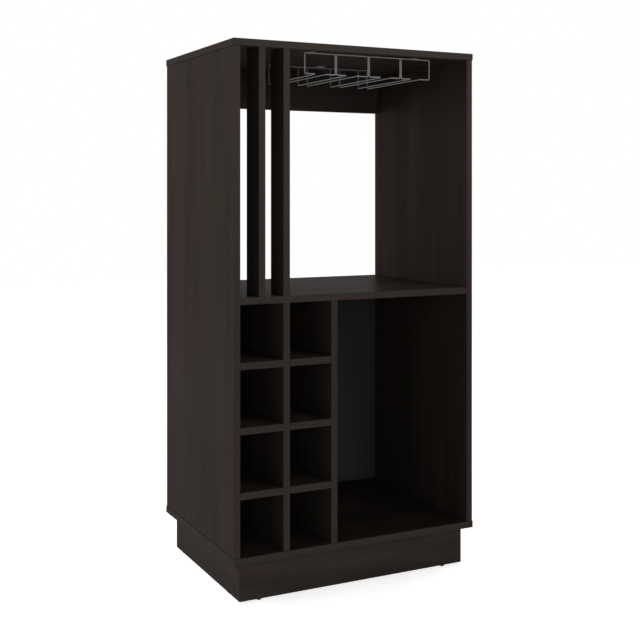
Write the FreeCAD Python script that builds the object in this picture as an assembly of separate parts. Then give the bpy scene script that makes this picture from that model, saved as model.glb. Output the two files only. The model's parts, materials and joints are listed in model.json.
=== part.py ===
# Free-standing open bar cabinet: bottle grid and open bay below, glass compartment with a wire rack above.
# Millimetres. X runs to the right, the open front faces -Y, Z is up.
# The origin is on the floor, under the middle of the top panel.
import FreeCAD
import Part

import math
import os
from collections import defaultdict

V = FreeCAD.Vector

# Boards and carcass
BOARD = 15.0               # thickness of every faced board
EDGE_EASE = 0.5            # small chamfer along the board edges
INNER_WIDTH = 560.0        # clear width between the side panels
SIDE_DEPTH = 426.0         # side panels, front to back
LOWER_CLEAR = 522.0        # clear height of the lower compartment
CABINET_HEIGHT = 1174.0    # floor to the top face; the upper compartment takes what the rest leaves
SIDE_OVERHANG = 1.0        # top and bottom panels past the outside of the side panels
FRONT_OVERHANG = 1.5       # top and bottom panels past the front of the side panels
BACK_PANEL = 2.5           # hardboard back, also the overhang of the top and bottom behind the sides
BACK_MARGIN = 1.0          # hardboard kept in from the sides and the shelf top
RAIL_HEIGHT = 96.0         # rail under the top, at the back of the upper compartment

# Bottle grid and slats
BOTTLE_WIDTH = 98.0        # clear width of a bottle column
LAP_PLAY = 0.2             # clearance in the half-lap slots
SLAT_DEPTH = 66.0          # upright slats, front to back

# Plinth and glides
PLINTH_HEIGHT = 82.0
PLINTH_SIDE_INSET = 19.5   # behind the outside of the side panels
PLINTH_FRONT_INSET = 17.0  # behind the front of the side panels
PLINTH_BACK_INSET = 15.0   # ahead of the back of the side panels
GLIDE_HEIGHT = 4.0
GLIDE_DIAMETER = 12.0
GLIDE_BEVEL = 2.0          # bevelled lower rim of a glide
GLIDE_FROM_END = 47.5      # on the front and back boards, in from the plinth's sides
GLIDE_FROM_FRONT = 70.0    # on the side boards, behind the plinth's front
GLIDE_FROM_BACK = 40.0     # on the side boards, ahead of the plinth's back

# Wire stemware rack
WIRE = 3.0                 # wire diameter
BEND = 2.5                 # bend radius at the middle of the wire
RACK_OFFSET = 34.4         # middle of the rack, right of the cabinet's middle
RACK_SETBACK = 21.5        # front bar behind the front of the side panels
RACK_LENGTH = 244.6        # front bar to back bar
RACK_DROP = 44.4           # bars down to the stem wires
STEM_GAP = 24.6            # between the two wires of a slot, middle to middle
CENTRE_RAIL = 62.4         # between the two wires of the middle rail
SIDE_RAIL = 52.0           # between the two wires of the rails beside it
END_RAIL = 24.6            # outermost wire to its hanger
HANGER_PLAY = 0.1          # between the two hangers of a rail
TAB_WIDTH = 18.0
TAB_DEPTH = 18.0
TAB_THICKNESS = 2.0
TAB_ROUNDING = 4.0         # rounded corners of a tab
LEFT_TAB_IN = 19.0         # left front tab in from the end of the frame

# Fasteners
HOLE_PLAY = 0.1            # every hole is this much wider and deeper than what it holds
BLIND_SKIN = 5.0           # board left under a blind hole in its face
DOWEL_DIAMETER = 8.0
DOWEL_LENGTH = 30.0
SCREW_LENGTH = 50.0        # carcass screws
SCREW_HEAD = 10.0
SCREW_HEAD_HEIGHT = 2.5
SCREW_NECK = 7.0           # plain neck in the first board
SCREW_CORE = 5.0           # threaded part in the second board
CAP_DIAMETER = 12.0        # plastic cap over a screw head
CAP_THICKNESS = 1.6
CAP_RECESS = 0.2           # cap below the top face
SCREW_MARGIN = 60.0        # outer carcass screws in from the front and back of the sides
DIVIDER_SPREAD = 200.0     # between the two fixings in a divider or bottle shelf
CAM_DIAMETER = 15.0
CAM_SKIN = 2.5             # board left above a cam
CAM_SETBACK = 34.0         # cam axis in from the end of its board
CAM_MARGIN = 80.0          # shelf cams in from the front and back
CAM_TO_DOWEL = 32.0        # dowel beside a cam
BOLT_THREAD = 5.0
BOLT_SHANK = 7.0
BOLT_NECK = 4.0
BOLT_NECK_LENGTH = 4.0
BOLT_HEAD_LENGTH = 3.0
RAIL_DOWEL_SPREAD = 50.0   # between the two dowels in an end of the rail
PAN_HEAD = 7.0             # small screws for the brackets and the rack
PAN_HEAD_HEIGHT = 2.0
PAN_SHANK = 3.5
PAN_BITE = 11.0            # length of a small screw in its board
BRACKET_LEG = 28.0
BRACKET_WIDTH = 20.0
BRACKET_METAL = 2.0
BRACKET_ROUNDING = 3.0     # outer corner of the bent bracket
BRACKET_SPREAD_X = 300.0   # between the brackets of the front and back boards
BRACKET_SPREAD_Y = 200.0   # between the brackets of the side boards
NAIL_SHANK = 1.5
NAIL_HEAD = 3.5
NAIL_HEAD_HEIGHT = 0.8
NAIL_LENGTH = 20.0
SIDE_NAILS = 5
SHELF_NAILS = 4
GLIDE_NAIL_SHANK = 2.0
GLIDE_NAIL_HEAD = 4.0
GLIDE_NAIL_RECESS = 1.0    # nail head above the floor
GLIDE_NAIL_LENGTH = 16.0

# Heights
BOTTOM_UNDER = GLIDE_HEIGHT + PLINTH_HEIGHT
FLOOR = BOTTOM_UNDER + BOARD
SHELF_UNDER = FLOOR + LOWER_CLEAR
SHELF_TOP = SHELF_UNDER + BOARD
TOP = CABINET_HEIGHT
CEILING = TOP - BOARD

# Depths
TOP_DEPTH = FRONT_OVERHANG + SIDE_DEPTH + BACK_PANEL
FRONT = -TOP_DEPTH / 2 + FRONT_OVERHANG
BACK = FRONT + SIDE_DEPTH
MIDDLE = (FRONT + BACK) / 2
PLINTH_FRONT = FRONT + PLINTH_FRONT_INSET
PLINTH_BACK = BACK - PLINTH_BACK_INSET

# Widths
RIGHT = INNER_WIDTH / 2
LEFT = -RIGHT
OUTSIDE = RIGHT + BOARD
TOP_WIDTH = 2 * (OUTSIDE + SIDE_OVERHANG)
SIDE_CENTRE = RIGHT + BOARD / 2
BOTTLE_DIVIDER = LEFT + BOTTLE_WIDTH
BAY_DIVIDER = BOTTLE_DIVIDER + BOARD + BOTTLE_WIDTH
PLINTH_SIDE = OUTSIDE - PLINTH_SIDE_INSET

# Rack lines, measured from the middle of the rack
BAR_HEIGHT = CEILING - TAB_THICKNESS - WIRE / 2
STEM_HEIGHT = BAR_HEIGHT - RACK_DROP
BAR_UNDER = BAR_HEIGHT - WIRE / 2
RACK_FRONT = FRONT + RACK_SETBACK
RACK_BACK = RACK_FRONT + RACK_LENGTH
INNER_STEM = CENTRE_RAIL / 2
SECOND_STEM = INNER_STEM + STEM_GAP
THIRD_STEM = SECOND_STEM + SIDE_RAIL
OUTER_STEM = THIRD_STEM + STEM_GAP
END_HANGER = OUTER_STEM + END_RAIL
SIDE_HANGER = (SECOND_STEM + THIRD_STEM) / 2
OUTER_SLOT = (THIRD_STEM + OUTER_STEM) / 2
LEFT_TAB = LEFT_TAB_IN - END_HANGER

# Names with more than one use
SIDES = ((-1, "left_side_panel"), (1, "right_side_panel"))
PLINTH_ENDS = ((-1, "plinth_left"), (1, "plinth_right"))
DIVIDERS = ((BOTTLE_DIVIDER, "bottle_divider"), (BAY_DIVIDER, "bay_divider"))
BOTTLE_SHELVES = ("bottle_shelf_lower", "bottle_shelf_middle", "bottle_shelf_upper")
ROW_COUNT = len(BOTTLE_SHELVES) + 1
ROW_CLEAR = (LOWER_CLEAR - len(BOTTLE_SHELVES) * BOARD) / ROW_COUNT
ROW_PITCH = ROW_CLEAR + BOARD
LEFT_SLAT = LEFT + (BOTTLE_WIDTH - BOARD) / 2
SLATS = ((LEFT_SLAT, "left_slat"), (BOTTLE_DIVIDER, "right_slat"))

pieces = defaultdict(list)     # solids of each node
holes = defaultdict(list)      # cutters waiting for each board


def board(name, x_span, y_span, z_span):
    """One faced board with eased edges."""
    size = [high - low for low, high in (x_span, y_span, z_span)]
    box = Part.makeBox(*size, V(x_span[0], y_span[0], z_span[0]))
    pieces[name].append(box.makeChamfer(EDGE_EASE, box.Edges))


def turned(outline, start, direction, play=0.0):
    """A turned solid about the line from start; outline lists (diameter, distance along the line)."""
    rim = [V(diameter / 2 + play, 0, distance) for diameter, distance in outline]
    rim[0].z -= play
    rim[-1].z += play
    points = [V(0, 0, rim[0].z)] + rim + [V(0, 0, rim[-1].z)]
    face = Part.Face(Part.makePolygon(points + points[:1]))
    solid = face.revolve(V(0, 0, 0), V(0, 0, 1), 360)
    solid.Placement = FreeCAD.Placement(start, FreeCAD.Rotation(V(0, 0, 1), direction))
    return solid


def fasten(node, outline, start, direction, boards):
    """Adds one fastener, and its hole in each board that it enters."""
    pieces[node].append(turned(outline, start, direction))
    hole = turned(outline, start, direction, HOLE_PLAY)
    for name in boards:
        holes[name].append(hole)
    return hole


def dowel(node, face_point, direction, boards):
    """A dowel from the face of the first board, at face_point, into the edge of the second."""
    outline = ((DOWEL_DIAMETER, 0), (DOWEL_DIAMETER, DOWEL_LENGTH))
    fasten(node, outline, face_point - direction * (BOARD - BLIND_SKIN), direction, boards)


def carcass_screw(node, head_point, direction, boards):
    """A carcass screw, head sunk at head_point, through the first board into the edge of the second."""
    outline = ((SCREW_HEAD, 0), (SCREW_NECK, SCREW_HEAD_HEIGHT), (SCREW_NECK, BOARD),
               (SCREW_CORE, BOARD), (SCREW_CORE, SCREW_LENGTH))
    fasten(node, outline, head_point, direction, boards)


def pan_screw(node, seat_point, direction, metal, boards):
    """A small pan-head screw seated on a metal sheet that lies on the first board."""
    seat = PAN_HEAD_HEIGHT
    outline = ((PAN_HEAD, 0), (PAN_HEAD, seat), (PAN_SHANK, seat), (PAN_SHANK, seat + metal + PAN_BITE))
    return fasten(node, outline, seat_point - direction * seat, direction, boards)


def cam_joint(cam_node, bolt_node, end_point, inward, open_side, boards):
    """A cam in the first board, drawn up on a bolt that is driven into the face of the second.

    end_point is where the bolt crosses the joint, open_side points out of the cam's mouth.
    """
    head_start = CAM_SETBACK - BOLT_HEAD_LENGTH / 2
    head_end = head_start + BOLT_HEAD_LENGTH
    neck_start = head_start - BOLT_NECK_LENGTH
    outline = ((BOLT_THREAD, BLIND_SKIN - BOARD), (BOLT_THREAD, 0),
               (BOLT_SHANK, 0), (BOLT_SHANK, neck_start),
               (BOLT_NECK, neck_start), (BOLT_NECK, head_start),
               (BOLT_SHANK, head_start), (BOLT_SHANK, head_end))
    bolt_hole = fasten(bolt_node, outline, end_point, inward, boards)
    mouth = end_point + inward * CAM_SETBACK + open_side * (BOARD / 2)
    cam_outline = ((CAM_DIAMETER, 0), (CAM_DIAMETER, BOARD - CAM_SKIN))
    pieces[cam_node].append(turned(cam_outline, mouth, -open_side).cut(bolt_hole))
    holes[boards[0]].append(turned(cam_outline, mouth, -open_side, HOLE_PLAY))


def bent_wire(corners, closed=False):
    """A round wire along straight runs, with a bend at each corner between them."""
    count = len(corners)
    arcs, arrivals, departures = [], [], []
    for index in range(count) if closed else range(1, count - 1):
        corner = corners[index]
        before = (corner - corners[index - 1]).normalize()
        after = (corners[(index + 1) % count] - corner).normalize()
        half_turn = before.getAngle(after) / 2
        reach = BEND * math.tan(half_turn)
        arrivals.append(corner - before * reach)
        departures.append(corner + after * reach)
        middle = corner + (after - before).normalize() * (BEND / math.cos(half_turn) - BEND)
        arcs.append(Part.Arc(arrivals[-1], middle, departures[-1]).toShape())
    if closed:
        arrivals = arrivals[1:] + arrivals[:1]
    else:
        arrivals = arrivals + [corners[-1]]
        departures = [corners[0]] + departures
    runs = [Part.LineSegment(*run).toShape() for run in zip(departures, arrivals)]
    path = Part.Wire(Part.__sortEdges__(runs + arcs))
    section = Part.makeCircle(WIRE / 2, departures[0], arrivals[0] - departures[0])
    return path.makePipeShell([Part.Wire(section)], True, False)


def make_carcass():
    """Top, bottom, sides, middle shelf, rear rail and hardboard back."""
    panel = ((-TOP_WIDTH / 2, TOP_WIDTH / 2), (-TOP_DEPTH / 2, TOP_DEPTH / 2))
    board("top_panel", *panel, (CEILING, TOP))
    board("bottom_panel", *panel, (BOTTOM_UNDER, FLOOR))
    depth = (FRONT, BACK)
    board("left_side_panel", (-OUTSIDE, LEFT), depth, (FLOOR, CEILING))
    board("right_side_panel", (RIGHT, OUTSIDE), depth, (FLOOR, CEILING))
    board("middle_shelf", (LEFT, RIGHT), depth, (SHELF_UNDER, SHELF_TOP))
    board("upper_back_rail", (LEFT, RIGHT), (BACK - BOARD, BACK), (CEILING - RAIL_HEIGHT, CEILING))
    width = 2 * (OUTSIDE - BACK_MARGIN)
    height = SHELF_TOP - BACK_MARGIN - FLOOR
    pieces["lower_back_panel"].append(Part.makeBox(width, BACK_PANEL, height, V(-width / 2, BACK, FLOOR)))


def make_bottle_grid():
    """Two uprights and the bottle shelves, half-lapped where a shelf crosses the first upright."""
    depth = (FRONT, BACK)
    for x, name in DIVIDERS:
        board(name, (x, x + BOARD), depth, (FLOOR, SHELF_UNDER))
    slot = BOARD + LAP_PLAY
    slot_depth = SIDE_DEPTH / 2 + LAP_PLAY / 2
    for level, name in enumerate(BOTTLE_SHELVES, 1):
        under = FLOOR + level * ROW_PITCH - BOARD
        board(name, (LEFT, BAY_DIVIDER), depth, (under, under + BOARD))
        corner = V(BOTTLE_DIVIDER - LAP_PLAY / 2, FRONT, under)
        holes[name].append(Part.makeBox(slot, slot_depth, BOARD, corner))
        corner = V(BOTTLE_DIVIDER, BACK - slot_depth, under - LAP_PLAY / 2)
        holes["bottle_divider"].append(Part.makeBox(BOARD, slot_depth, slot, corner))


def make_slats():
    """Two upright slats at the front of the upper compartment."""
    for x, name in SLATS:
        board(name, (x, x + BOARD), (FRONT, FRONT + SLAT_DEPTH), (SHELF_TOP, CEILING))


def make_plinth():
    """Four boards on edge under the bottom panel, with the side boards between the other two."""
    height = (GLIDE_HEIGHT, BOTTOM_UNDER)
    width = (-PLINTH_SIDE, PLINTH_SIDE)
    inner_depth = (PLINTH_FRONT + BOARD, PLINTH_BACK - BOARD)
    board("plinth_front", width, (PLINTH_FRONT, PLINTH_FRONT + BOARD), height)
    board("plinth_back", width, (PLINTH_BACK - BOARD, PLINTH_BACK), height)
    board("plinth_left", (-PLINTH_SIDE, BOARD - PLINTH_SIDE), inner_depth, height)
    board("plinth_right", (PLINTH_SIDE - BOARD, PLINTH_SIDE), inner_depth, height)


def make_glides():
    """Nailed glides, two under each plinth board."""
    places = []
    for side, name in PLINTH_ENDS:
        x = side * (PLINTH_SIDE - BOARD / 2)
        places.append((x, PLINTH_FRONT + GLIDE_FROM_FRONT, name))
        places.append((x, PLINTH_BACK - GLIDE_FROM_BACK, name))
        x = side * (PLINTH_SIDE - GLIDE_FROM_END)
        places.append((x, PLINTH_FRONT + BOARD / 2, "plinth_front"))
        places.append((x, PLINTH_BACK - BOARD / 2, "plinth_back"))
    glide = ((GLIDE_DIAMETER - 2 * GLIDE_BEVEL, 0), (GLIDE_DIAMETER, GLIDE_BEVEL),
             (GLIDE_DIAMETER, GLIDE_HEIGHT))
    head = GLIDE_NAIL_RECESS + NAIL_HEAD_HEIGHT
    nail = ((GLIDE_NAIL_HEAD, GLIDE_NAIL_RECESS), (GLIDE_NAIL_HEAD, head),
            (GLIDE_NAIL_SHANK, head), (GLIDE_NAIL_SHANK, GLIDE_NAIL_RECESS + GLIDE_NAIL_LENGTH))
    for x, y, name in places:
        spot = V(x, y, 0)
        foot = turned(glide, spot, V(0, 0, 1))
        nail_hole = fasten("glide_nails", nail, spot, V(0, 0, 1), [name])
        mouth = Part.makeCylinder(GLIDE_NAIL_HEAD / 2 + HOLE_PLAY, head, spot)
        pieces["glides"].append(foot.cut([nail_hole, mouth]))


def make_rack():
    """The hanging rack: a closed frame wire, six stem wires, three welded tabs and their screws."""
    def at(x, y, z):
        return V(RACK_OFFSET + x, y, z)

    right_half = [at(END_HANGER, RACK_FRONT, BAR_HEIGHT), at(END_HANGER, RACK_FRONT, STEM_HEIGHT),
                  at(OUTER_STEM, RACK_FRONT, STEM_HEIGHT), at(OUTER_STEM, RACK_BACK, STEM_HEIGHT),
                  at(OUTER_STEM, RACK_BACK, BAR_HEIGHT)]
    left_half = [V(2 * RACK_OFFSET - corner.x, corner.y, corner.z) for corner in reversed(right_half)]
    pieces["rack_frame_wire"].append(bent_wire(right_half + left_half, closed=True))

    beside = (WIRE + HANGER_PLAY) / 2
    stems = []
    for rail, half_width in ((-SIDE_HANGER, SIDE_RAIL / 2), (0, INNER_STEM), (SIDE_HANGER, SIDE_RAIL / 2)):
        stems += [(rail + side * half_width, rail + side * beside) for side in (-1, 1)]
    for number, (stem, hanger) in enumerate(stems, 1):
        corners = [at(stem, RACK_BACK, BAR_UNDER), at(stem, RACK_BACK, STEM_HEIGHT),
                   at(stem, RACK_FRONT, STEM_HEIGHT), at(hanger, RACK_FRONT, STEM_HEIGHT),
                   at(hanger, RACK_FRONT, BAR_UNDER)]
        pieces["rack_stem_wire_%d" % number].append(bent_wire(corners))

    tab_under = CEILING - TAB_THICKNESS
    for x, bar, inward in ((LEFT_TAB, RACK_FRONT, 1), (OUTER_SLOT, RACK_FRONT, 1), (0, RACK_BACK, -1)):
        middle = bar + inward * (TAB_DEPTH - WIRE) / 2
        corner = at(x - TAB_WIDTH / 2, middle - TAB_DEPTH / 2, tab_under)
        tab = Part.makeBox(TAB_WIDTH, TAB_DEPTH, TAB_THICKNESS, corner)
        corners = [edge for edge in tab.Edges if abs(edge.Vertexes[0].Z - edge.Vertexes[1].Z) > TAB_THICKNESS / 2]
        tab = tab.makeFillet(TAB_ROUNDING, corners)
        seat = at(x, middle + inward * WIRE / 2, tab_under)
        hole = pan_screw("rack_screws", seat, V(0, 0, 1), TAB_THICKNESS, ["top_panel"])
        pieces["rack_mounting_tabs"].append(tab.cut(hole))


def join_carcass():
    """Screws through the top and bottom, cams and dowels at the shelf and the rail, nails in the back."""
    cap_under = CAP_RECESS + CAP_THICKNESS
    cap = ((CAP_DIAMETER, CAP_RECESS), (CAP_DIAMETER, cap_under))
    for side, name in SIDES:
        outward = V(side, 0, 0)
        for y in (FRONT + SCREW_MARGIN, MIDDLE, BACK - SCREW_MARGIN):
            spot = V(side * SIDE_CENTRE, y, TOP)
            carcass_screw("top_screws", spot - V(0, 0, cap_under), V(0, 0, -1), ["top_panel", name])
            fasten("top_screw_caps", cap, spot, V(0, 0, -1), ["top_panel"])
            recess = Part.makeCylinder(CAP_DIAMETER / 2 + HOLE_PLAY, cap_under, spot, V(0, 0, -1))
            holes["top_panel"].append(recess)
            spot = V(side * SIDE_CENTRE, y, BOTTOM_UNDER)
            carcass_screw("bottom_screws", spot, V(0, 0, 1), ["bottom_panel", name])
        for y, step in ((FRONT + CAM_MARGIN, CAM_TO_DOWEL), (BACK - CAM_MARGIN, -CAM_TO_DOWEL)):
            end = V(side * RIGHT, y, SHELF_UNDER + BOARD / 2)
            cam_joint("shelf_cams", "shelf_cam_bolts", end, -outward, V(0, 0, -1), ["middle_shelf", name])
            dowel("shelf_dowels", end + V(0, step, 0), -outward, [name, "middle_shelf"])
        end = V(side * RIGHT, BACK - BOARD / 2, CEILING - RAIL_HEIGHT / 2)
        cam_joint("rail_cams", "rail_cam_bolts", end, -outward, V(0, 1, 0), ["upper_back_rail", name])
        for up in (-1, 1):
            spot = end + V(0, 0, up * RAIL_DOWEL_SPREAD / 2)
            dowel("rail_dowels", spot, -outward, [name, "upper_back_rail"])


def join_bottle_grid():
    """Dividers screwed from below and dowelled to the shelf, bottle shelves dowelled at both ends."""
    for y in (MIDDLE - DIVIDER_SPREAD / 2, MIDDLE + DIVIDER_SPREAD / 2):
        for x, name in DIVIDERS:
            centre = x + BOARD / 2
            carcass_screw("bottom_screws", V(centre, y, BOTTOM_UNDER), V(0, 0, 1), ["bottom_panel", name])
            dowel("divider_dowels", V(centre, y, SHELF_UNDER), V(0, 0, -1), ["middle_shelf", name])
        for level, name in enumerate(BOTTLE_SHELVES, 1):
            height = FLOOR + level * ROW_PITCH - BOARD / 2
            dowel("bottle_shelf_dowels", V(LEFT, y, height), V(1, 0, 0), ["left_side_panel", name])
            dowel("bottle_shelf_dowels", V(BAY_DIVIDER, y, height), V(-1, 0, 0), ["bay_divider", name])


def join_slats():
    """Two dowels in each end of a slat."""
    for x, name in SLATS:
        for y in (FRONT + SLAT_DEPTH / 4, FRONT + SLAT_DEPTH * 3 / 4):
            dowel("slat_dowels", V(x + BOARD / 2, y, SHELF_TOP), V(0, 0, 1), ["middle_shelf", name])
            dowel("slat_dowels", V(x + BOARD / 2, y, CEILING), V(0, 0, -1), ["top_panel", name])


def plinth_bracket(board_name, foot, inward):
    """A bent steel angle in the corner of a plinth board and the bottom panel, with a screw into each."""
    leg, metal = BRACKET_LEG, BRACKET_METAL
    along = inward.cross(V(0, 0, 1))
    start = foot - along * (BRACKET_WIDTH / 2)
    section = [start + inward * out - V(0, 0, down) for out, down in
               ((0, 0), (leg, 0), (leg, metal), (metal, metal), (metal, leg), (0, leg))]
    angle = Part.Face(Part.makePolygon(section + section[:1])).extrude(along * BRACKET_WIDTH)
    heel = [edge for edge in angle.Edges if all((vertex.Point - foot).dot(inward) < metal / 2
            and foot.z - vertex.Point.z < metal / 2 for vertex in edge.Vertexes)]
    angle = angle.makeFillet(BRACKET_ROUNDING, heel)
    middle = (leg + metal) / 2
    up_seat = foot + inward * middle - V(0, 0, metal)
    side_seat = foot + inward * metal - V(0, 0, middle)
    screw_holes = [pan_screw("plinth_bracket_screws", up_seat, V(0, 0, 1), metal, ["bottom_panel"]),
                   pan_screw("plinth_bracket_screws", side_seat, -inward, metal, [board_name])]
    pieces["plinth_brackets"].append(angle.cut(screw_holes))


def join_plinth():
    """Dowels at the plinth's corners, and brackets that hold it to the bottom panel."""
    for side, name in PLINTH_ENDS:
        x = side * (PLINTH_SIDE - BOARD / 2)
        for height in (GLIDE_HEIGHT + PLINTH_HEIGHT / 4, GLIDE_HEIGHT + PLINTH_HEIGHT * 3 / 4):
            dowel("plinth_dowels", V(x, PLINTH_FRONT + BOARD, height), V(0, 1, 0), ["plinth_front", name])
            dowel("plinth_dowels", V(x, PLINTH_BACK - BOARD, height), V(0, -1, 0), ["plinth_back", name])
        for step in (-1, 1):
            foot = V(side * (PLINTH_SIDE - BOARD), MIDDLE + step * BRACKET_SPREAD_Y / 2, BOTTOM_UNDER)
            plinth_bracket(name, foot, V(-side, 0, 0))
        x = side * BRACKET_SPREAD_X / 2
        plinth_bracket("plinth_front", V(x, PLINTH_FRONT + BOARD, BOTTOM_UNDER), V(0, 1, 0))
        plinth_bracket("plinth_back", V(x, PLINTH_BACK - BOARD, BOTTOM_UNDER), V(0, -1, 0))


def nail_back():
    """Nails through the hardboard into the sides, the shelf and the dividers."""
    nail = ((NAIL_HEAD, 0), (NAIL_HEAD, NAIL_HEAD_HEIGHT),
            (NAIL_SHANK, NAIL_HEAD_HEIGHT), (NAIL_SHANK, NAIL_LENGTH))
    spots = []
    for number in range(SIDE_NAILS):
        height = FLOOR + LOWER_CLEAR * (number + 0.5) / SIDE_NAILS
        spots += [(side * SIDE_CENTRE, height, name) for side, name in SIDES]
    for number in range(SHELF_NAILS):
        x = LEFT + INNER_WIDTH * (number + 0.5) / SHELF_NAILS
        spots.append((x, SHELF_UNDER + BOARD / 2, "middle_shelf"))
    for row in range(ROW_COUNT):
        height = FLOOR + row * ROW_PITCH + ROW_CLEAR / 2
        spots += [(x + BOARD / 2, height, name) for x, name in DIVIDERS]
    for x, z, name in spots:
        spot = V(x, BACK + BACK_PANEL, z)
        fasten("back_panel_nails", nail, spot, V(0, -1, 0), ["lower_back_panel", name])


def export_nodes():
    """Drills the boards and writes one file for each node."""
    os.makedirs("parts", exist_ok=True)
    for name, solids in pieces.items():
        if holes[name]:
            solids = solids[0].cut(holes[name]).Solids
        shape = solids[0] if len(solids) == 1 else Part.Compound(solids)
        shape.exportStep("parts/%s.step" % name)
        report = (name, len(shape.Solids), shape.Volume, shape.isValid())
        print("%-24s %2d solids, %9.1f mm3, valid %s" % report)


make_carcass()
make_bottle_grid()
make_slats()
make_plinth()
make_glides()
make_rack()
join_carcass()
join_bottle_grid()
join_slats()
join_plinth()
nail_back()
export_nodes()
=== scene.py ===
"""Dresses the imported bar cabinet: wood-grain boards, a bent-wire rack, fixings and a studio stage."""

import json
import math

import bmesh
import bpy
from bpy.props import FloatProperty, FloatVectorProperty, IntProperty, PointerProperty
from mathutils import Matrix, Vector


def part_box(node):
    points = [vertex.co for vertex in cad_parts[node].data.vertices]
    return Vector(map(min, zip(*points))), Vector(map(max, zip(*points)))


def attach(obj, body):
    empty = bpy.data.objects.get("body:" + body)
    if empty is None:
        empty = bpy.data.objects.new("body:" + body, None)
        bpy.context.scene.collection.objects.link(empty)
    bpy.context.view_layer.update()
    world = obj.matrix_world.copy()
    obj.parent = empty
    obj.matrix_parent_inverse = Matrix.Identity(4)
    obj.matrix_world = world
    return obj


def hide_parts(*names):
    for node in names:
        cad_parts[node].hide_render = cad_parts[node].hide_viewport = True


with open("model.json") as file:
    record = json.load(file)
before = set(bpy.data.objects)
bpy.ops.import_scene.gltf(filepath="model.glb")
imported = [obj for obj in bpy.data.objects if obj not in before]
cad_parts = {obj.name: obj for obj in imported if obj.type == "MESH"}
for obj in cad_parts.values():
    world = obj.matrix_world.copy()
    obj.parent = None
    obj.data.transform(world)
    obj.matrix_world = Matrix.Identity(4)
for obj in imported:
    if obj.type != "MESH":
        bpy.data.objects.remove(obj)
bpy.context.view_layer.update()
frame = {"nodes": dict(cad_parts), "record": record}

bl_info = {
    "name": "Bar Cabinet Dressing",
    "version": (1, 0, 0),
    "blender": (4, 5, 0),
    "location": "View3D > Sidebar > Bar Cabinet",
    "description": "Faces the boards, bends the stemware rack, seats the fixings and sets the stage",
    "category": "Object",
}

BODY = "root"
MERGE_DISTANCE = 1e-6
SMOOTH_ANGLE = math.radians(35)
TURN_STEPS = 32             # points round a turned shape
MM = 0.001
PAN_SHANK_RADIUS = 1.75     # small screws, in millimetres
HOLE_PLAY = 0.1             # room round a screw, in millimetres
ROWS_PER_TURN = 4           # rows of points for each turn of a thread
COARSE = 1.5                # pitch of the carcass screws, in pitches of the small screws
FLUTES = 18                 # flutes round a dowel
TAB_EASE = 0.15             # height of a tab's eased rims, in millimetres
TAB_EASE_SCALE = 0.985      # size of a tab's faces inside those rims
WELD_PLACE = 0.36           # from a tab's middle to its welds, in tab widths
WELD_SINK = 0.3             # depth of a tab's welds below it, in wire radii
WELD_UNEVENNESS = 0.5       # in bead sizes
FLOOR_HALF = 8.0            # half the width of the floor, in metres
SHADOW_CORE = 0.4           # share of the shadow's reach that doesn't fade


def colour(name, description, default):
    """A linear colour property."""
    return FloatVectorProperty(name=name, description=description, default=default, subtype="COLOR",
                               size=3, min=0.0, max=1.0)


def length(name, description, default):
    """A length property, in metres."""
    return FloatProperty(name=name, description=description, default=default, unit="LENGTH", min=0.0,
                         precision=4)


def share(name, description, default):
    """A property from none to full."""
    return FloatProperty(name=name, description=description, default=default, subtype="FACTOR",
                         min=0.0, max=1.0)


class BoardFinish(bpy.types.PropertyGroup):
    """Look of the wood-grain boards and of the hardboard back"""
    warm_tone: colour("Warm Streaks", "Reddish streaks of the grain", (0.0401, 0.0296, 0.0261))
    olive_tone: colour("Olive Streaks", "Yellowish streaks of the grain", (0.0369, 0.0319, 0.0248))
    dusky_tone: colour("Dusky Streaks", "Purplish streaks of the grain", (0.0369, 0.0291, 0.0284))
    pore_tone: colour("Pores", "Short dark pores along the grain", (0.0160, 0.0125, 0.0108))
    edge_tone: colour("Edge Bands", "Plain bands along the narrow edges", (0.0444, 0.0362, 0.0318))
    hardboard_tone: colour("Hardboard", "Painted thin back panel", (0.0348, 0.0348, 0.0356))
    band_width: length("Band Width", "Width of the broad bands of the grain", 0.050)
    streak_width: length("Streak Width", "Width of the narrow streaks", 0.036)
    fibre_width: length("Fibre Width", "Width of the finest lines", 0.0016)
    board_roughness: share("Roughness", "Roughness of the board faces", 0.36)


class RackFinish(bpy.types.PropertyGroup):
    """Shape and look of the wire rack"""
    wire_tone: colour("Wire", "Silver-grey coating of the wire", (0.155, 0.155, 0.151))
    wire_roughness: share("Roughness", "Roughness of the wire", 0.45)
    wire_radius: length("Wire Radius", "Half the thickness of the wire", 0.0015)
    bend_radius: length("Bend Radius", "Bends of the wire, at its middle", 0.0025)
    bead_size: length("Bead Size", "Half the width of a weld", 0.0019)
    tab_rounding: length("Tab Rounding", "Rounded corners of the tabs", 0.004)
    bend_steps: IntProperty(name="Bend Steps", description="Points along each bend", default=9, min=2)
    wire_steps: IntProperty(name="Wire Steps", description="Points round the wire", default=24, min=8)
    weld_seed: IntProperty(name="Weld Seed", description="Draws the uneven welds", default=5)


class FixingFinish(bpy.types.PropertyGroup):
    """Look of the screws, cams, nails, dowels, caps and glides"""
    zinc_tone: colour("Zinc", "Plated steel of the fixings", (0.52, 0.52, 0.50))
    beech_light: colour("Light Beech", "Pale wood of the dowels", (0.56, 0.38, 0.21))
    beech_dark: colour("Dark Beech", "Darker streaks of the dowels", (0.42, 0.27, 0.14))
    cap_tone: colour("Caps", "Plastic caps over the top screws", (0.032, 0.025, 0.021))
    glide_tone: colour("Glides", "Plastic glides under the plinth", (0.060, 0.052, 0.046))
    thread_pitch: length("Thread Pitch", "Rise of a screw thread for each turn", 0.0018)
    thread_depth: length("Thread Depth", "Depth of a screw thread", 0.0005)
    flute_depth: length("Flute Depth", "Depth of the flutes along a dowel", 0.0003)
    turn_seed: IntProperty(name="Turn Seed", description="Draws the angle that each screw stops at",
                           default=11)


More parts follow.
